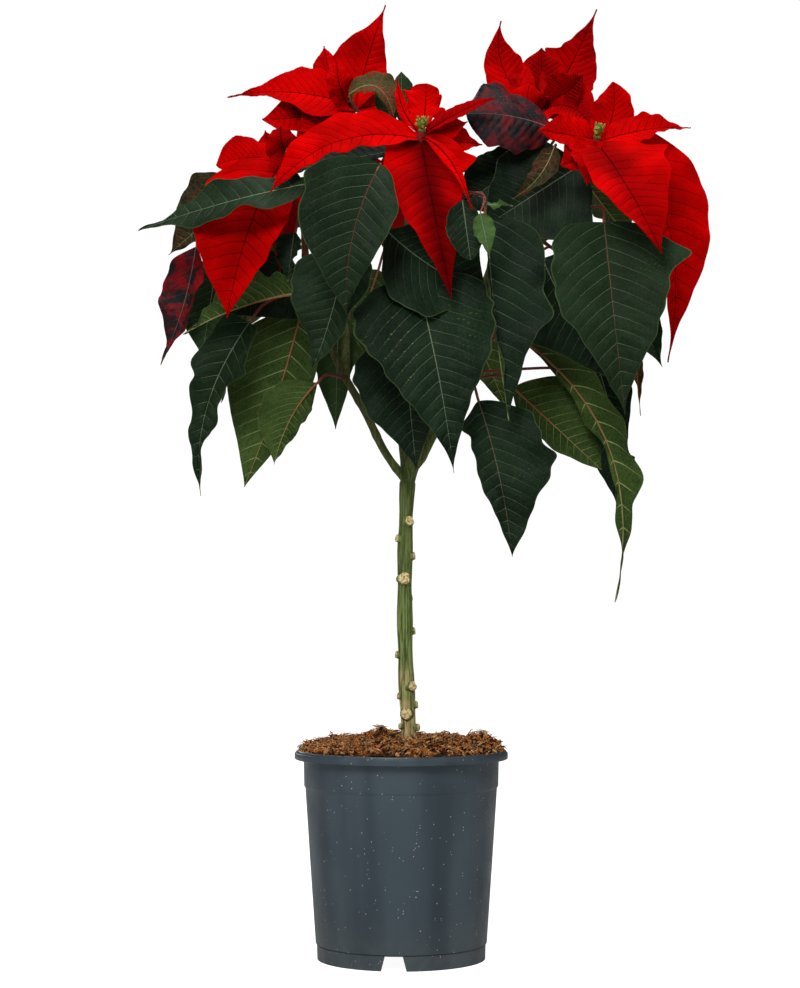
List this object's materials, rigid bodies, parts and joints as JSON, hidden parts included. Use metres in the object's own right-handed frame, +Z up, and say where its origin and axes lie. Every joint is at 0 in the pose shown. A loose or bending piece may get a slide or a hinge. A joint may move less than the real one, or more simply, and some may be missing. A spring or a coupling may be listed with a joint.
{
  "type": "potted poinsettia",
  "caption": "Poinsettia grown as a small tree: red bracts and dark green leaves on one bare stem, in a round plastic nursery pot filled with coir.",
  "frame": {"origin": "the middle of the whole plant's width and depth, on the ground it stands on", "axes": "+Z up the stem, -Y towards the viewer's side, +X to the viewer's right"},
  "size_m": [0.4463, 0.3162, 0.7775],
  "materials": {
    "pot": "satin, dusty with bits of coir",
    "soil": "loose coir and peat, rough and fibrous",
    "stem": "green bark with pale corky scars, woody lower down",
    "green_leaf": "smooth dark green leaf with pale veins",
    "light_leaf": "matt paler green leaf, seen from underneath or young",
    "mottled_leaf": "leaf on its way from green to red, blotched",
    "bronze_leaf": "brownish green leaf, slightly glossy",
    "red_bract": "velvety bright red bract with darker veins",
    "flower_cup": "small fleshy yellow-green cup with a red mouth"
  },
  "bodies": {
    "root": {"pot": "pot", "stem": "stem", "soil": "soil", "leaf_left_long": "green_leaf", "leaf_front_left": "green_leaf", "leaf_left_teal": "green_leaf", "leaf_centre_shade": "green_leaf", "leaf_front_large": "green_leaf", "leaf_centre_low": "green_leaf", "leaf_left_edge": "light_leaf", "leaf_left_droop": "green_leaf", "leaf_left_under": "light_leaf", "leaf_left_inner": "light_leaf", "leaf_left_behind": "green_leaf", "leaf_left_mottled": "mottled_leaf", "leaf_left_olive": "green_leaf", "leaf_left_vein": "green_leaf", "leaf_left_bronze": "bronze_leaf", "leaf_right_large": "green_leaf", "leaf_right_folded": "green_leaf", "leaf_centre_small": "green_leaf", "leaf_right_shade": "green_leaf", "leaf_right_dark": "green_leaf", "leaf_right_mid": "green_leaf", "leaf_right_trailing": "light_leaf", "leaf_right_under": "light_leaf", "leaf_right_low": "green_leaf", "leaf_right_behind": "green_leaf", "leaf_right_far": "green_leaf", "leaf_right_curled": "bronze_leaf", "leaf_top_small": "light_leaf", "young_shoot": "light_leaf", "leaf_top_bronze": "bronze_leaf", "leaf_left_top": "green_leaf", "leaf_left_rolled": "green_leaf", "leaf_back_left": "green_leaf", "leaf_back_right": "green_leaf", "leaf_back_low": "green_leaf", "leaf_back_far_left": "green_leaf", "leaf_back_far_right": "green_leaf", "leaf_back_upper_left": "green_leaf", "leaf_back_upper_right": "green_leaf", "leaf_side_left": "green_leaf", "leaf_side_right": "green_leaf", "leaf_right_low_behind": "green_leaf", "leaf_right_mottled": "mottled_leaf", "bloom_back_left": "red_bract", "flower_cups_back_left": "flower_cup", "bloom_centre": "red_bract", "flower_cups_centre": "flower_cup", "bloom_left": "red_bract", "flower_cups_left": "flower_cup", "bloom_right": "red_bract", "flower_cups_right": "flower_cup", "bloom_back_right": "red_bract", "flower_cups_back_right": "flower_cup", "bloom_back": "red_bract", "flower_cups_back": "flower_cup"}
  },
  "joints": []
}
